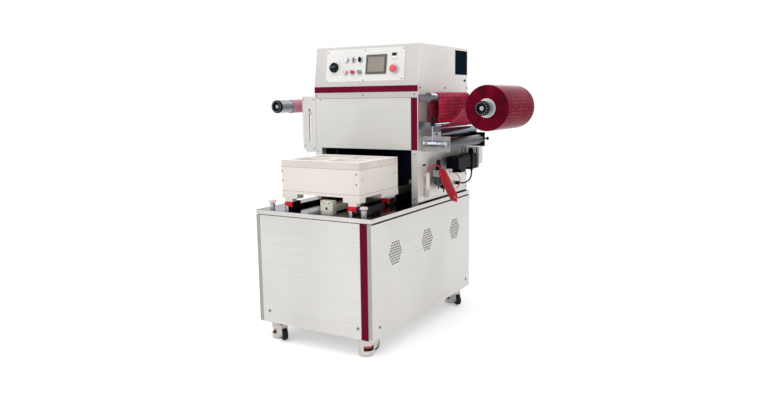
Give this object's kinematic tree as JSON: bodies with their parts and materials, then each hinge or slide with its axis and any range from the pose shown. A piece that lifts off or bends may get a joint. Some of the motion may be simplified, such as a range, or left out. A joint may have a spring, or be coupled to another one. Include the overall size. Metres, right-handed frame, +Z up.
{
  "type": "tray sealer",
  "caption": "Floor-standing tray sealing machine: steel cabinet on levelling casters, sealing head, die on a sliding drawer, film roll with guide rollers and a slanted control panel.",
  "frame": {"origin": "middle of the overall box on the floor, with the casters' feet on it", "axes": "+Z up, -Y towards the front where the operator stands, +X to the operator's right"},
  "size_m": [1.4306, 1.1614, 1.538],
  "materials": {
    "stainless": "brushed",
    "burgundy": "satin",
    "die_cream": "satin coated",
    "aluminium": "machined",
    "chrome": "polished",
    "dark_steel": "dark oxide",
    "rubber_black": "matte",
    "black_plastic": "matte",
    "red_plastic": "glossy",
    "white_plastic": "glossy",
    "green_plastic": "glossy",
    "panel_grey": "fine satin",
    "caster_grey": "cast",
    "film_red": "printed film",
    "film_pink": "thin film",
    "hose_red": "polyurethane tube",
    "hose_orange": "polyurethane tube",
    "cable_black": "matte sheath"
  },
  "bodies": {
    "root": {"corner_posts": "stainless", "base_panels": "stainless", "base_floor": "stainless", "table_top": "stainless", "trim_stripes": "burgundy", "slide_rails": "aluminium", "drive_cylinder": "aluminium", "button_collars": "aluminium", "head_left_wall": "stainless", "head_right_wall": "stainless", "head_cover": "stainless", "control_fascia": "stainless", "front_cover": "stainless", "front_columns": "stainless", "press_frame": "aluminium", "upper_tool": "dark_steel", "control_plate": "panel_grey", "touch_panel": "panel_grey", "control_collars": "aluminium", "shaft_supports": "stainless", "film_guides": "chrome", "nip_frame": "stainless", "rear_plate": "stainless", "gearmotor": "dark_steel", "film_web": "film_red", "slot_plates": "stainless", "air_fittings": "caster_grey", "air_hose": "hose_red", "hose_hank": "hose_red", "vent_hose": "hose_orange", "motor_cable": "cable_black"},
    "drawer": {"die_carriages": "dark_steel", "die_body": "die_cream", "die_top_plate": "die_cream"},
    "unwind": {"unwind_shaft": "chrome", "film_roll": "film_red"},
    "rewind": {"rewind_shaft": "chrome", "waste_film": "film_pink"},
    "feed_roller": {"feed_roller": "rubber_black"},
    "guide_roller": {"guide_roller": "chrome"},
    "clamp_lever": {"clamp_lever": "chrome"},
    "tension_roller": {"tension_roller": "aluminium"},
    "main_switch": {"main_switch_knob": "black_plastic"},
    "start_button": {"start_button": "white_plastic"},
    "red_button": {"red_button": "red_plastic"},
    "green_button": {"green_button": "green_plastic"},
    "mode_selector": {"mode_selector": "red_plastic"},
    "film_selector": {"film_selector": "black_plastic"},
    "stop_button": {"stop_button": "red_plastic"},
    "palm_left": {"palm_button_left": "white_plastic"},
    "palm_right": {"palm_button_right": "white_plastic"},
    "caster_front_left": {"caster_front_left": "caster_grey"},
    "wheel_front_left": {"wheel_front_left": "rubber_black"},
    "caster_front_right": {"caster_front_right": "caster_grey"},
    "wheel_front_right": {"wheel_front_right": "rubber_black"},
    "caster_rear_left": {"caster_rear_left": "caster_grey"},
    "wheel_rear_left": {"wheel_rear_left": "rubber_black"},
    "caster_rear_right": {"caster_rear_right": "caster_grey"},
    "wheel_rear_right": {"wheel_rear_right": "rubber_black"}
  },
  "joints": [
    {"name": "drawer_slide", "type": "slide", "parent": "root", "child": "drawer", "axis": [0, 1, 0], "range_m": [0, 0.56]},
    {"name": "unwind_spin", "type": "hinge", "parent": "root", "child": "unwind", "pos_m": [0.59775, 0.03575, 1.2], "axis": [0, 1, 0], "continuous": true},
    {"name": "rewind_spin", "type": "hinge", "parent": "root", "child": "rewind", "pos_m": [-0.66725, 0.03575, 1.215], "axis": [0, 1, 0], "continuous": true},
    {"name": "feed_spin", "type": "hinge", "parent": "root", "child": "feed_roller", "pos_m": [0.39075, 0.03575, 1.016], "axis": [0, 1, 0], "continuous": true},
    {"name": "guide_spin", "type": "hinge", "parent": "root", "child": "guide_roller", "pos_m": [0.34275, 0.03575, 1.067], "axis": [0, 1, 0], "continuous": true},
    {"name": "clamp_turn", "type": "hinge", "parent": "root", "child": "clamp_lever", "pos_m": [0.33975, -0.06525, 1.018], "axis": [1, 0, 0], "range_deg": [0, 90]},
    {"name": "tension_slide", "type": "slide", "parent": "root", "child": "tension_roller", "axis": [0, 0, 1], "range_m": [-0.16, 0.008]},
    {"name": "main_switch_turn", "type": "hinge", "parent": "root", "child": "main_switch", "pos_m": [-0.27325, -0.04458, 1.42515], "axis": [0, 0.9871, -0.1603], "range_deg": [0, 90]},
    {"name": "start_press", "type": "slide", "parent": "root", "child": "start_button", "axis": [0, 0.9871, -0.1603], "range_m": [0, 0.003], "stiffness_N_per_m": 600, "springref_m": -0.002},
    {"name": "red_press", "type": "slide", "parent": "root", "child": "red_button", "axis": [0, 0.9871, -0.1603], "range_m": [0, 0.003], "stiffness_N_per_m": 600, "springref_m": -0.002},
    {"name": "green_press", "type": "slide", "parent": "root", "child": "green_button", "axis": [0, 0.9871, -0.1603], "range_m": [0, 0.003], "stiffness_N_per_m": 600, "springref_m": -0.002},
    {"name": "stop_press", "type": "slide", "parent": "root", "child": "stop_button", "axis": [0, 0.9871, -0.1603], "range_m": [0, 0.005], "stiffness_N_per_m": 800, "springref_m": -0.002},
    {"name": "mode_turn", "type": "hinge", "parent": "root", "child": "mode_selector", "pos_m": [-0.15525, -0.03816, 1.46464], "axis": [0, 0.9871, -0.1603], "range_deg": [-45, 45]},
    {"name": "film_turn", "type": "hinge", "parent": "root", "child": "film_selector", "pos_m": [-0.11025, -0.03816, 1.46464], "axis": [0, 0.9871, -0.1603], "range_deg": [-45, 45]},
    {"name": "palm_left_press", "type": "slide", "parent": "root", "child": "palm_left", "axis": [0, 0, -1], "range_m": [0, 0.004], "stiffness_N_per_m": 700, "springref_m": -0.002},
    {"name": "palm_right_press", "type": "slide", "parent": "root", "child": "palm_right", "axis": [0, 0, -1], "range_m": [0, 0.004], "stiffness_N_per_m": 700, "springref_m": -0.002},
    {"name": "swivel_front_left", "type": "hinge", "parent": "root", "child": "caster_front_left", "pos_m": [-0.35125, -0.51925, 0.09], "axis": [0, 0, 1], "continuous": true},
    {"name": "roll_front_left", "type": "hinge", "parent": "caster_front_left", "child": "wheel_front_left", "pos_m": [-0.28933, -0.555, 0.032], "axis": [0.5, 0.866, 0], "continuous": true},
    {"name": "swivel_front_right", "type": "hinge", "parent": "root", "child": "caster_front_right", "pos_m": [0.19675, -0.51925, 0.09], "axis": [0, 0, 1], "continuous": true},
    {"name": "roll_front_right", "type": "hinge", "parent": "caster_front_right", "child": "wheel_front_right", "pos_m": [0.20298, -0.44802, 0.032], "axis": [-0.9962, 0.0872, 0], "continuous": true},
    {"name": "swivel_rear_left", "type": "hinge", "parent": "root", "child": "caster_rear_left", "pos_m": [-0.35125, 0.48275, 0.09], "axis": [0, 0, 1], "continuous": true},
    {"name": "roll_rear_left", "type": "hinge", "parent": "caster_rear_left", "child": "wheel_rear_left", "pos_m": [-0.41844, 0.5072, 0.032], "axis": [-0.342, -0.9397, 0], "continuous": true},
    {"name": "swivel_rear_right", "type": "hinge", "parent": "root", "child": "caster_rear_right", "pos_m": [0.19675, 0.48275, 0.09], "axis": [0, 0, 1], "continuous": true},
    {"name": "roll_rear_right", "type": "hinge", "parent": "caster_rear_right", "child": "wheel_rear_right", "pos_m": [0.25603, 0.44277, 0.032], "axis": [0.5592, 0.829, 0], "continuous": true}
  ]
}
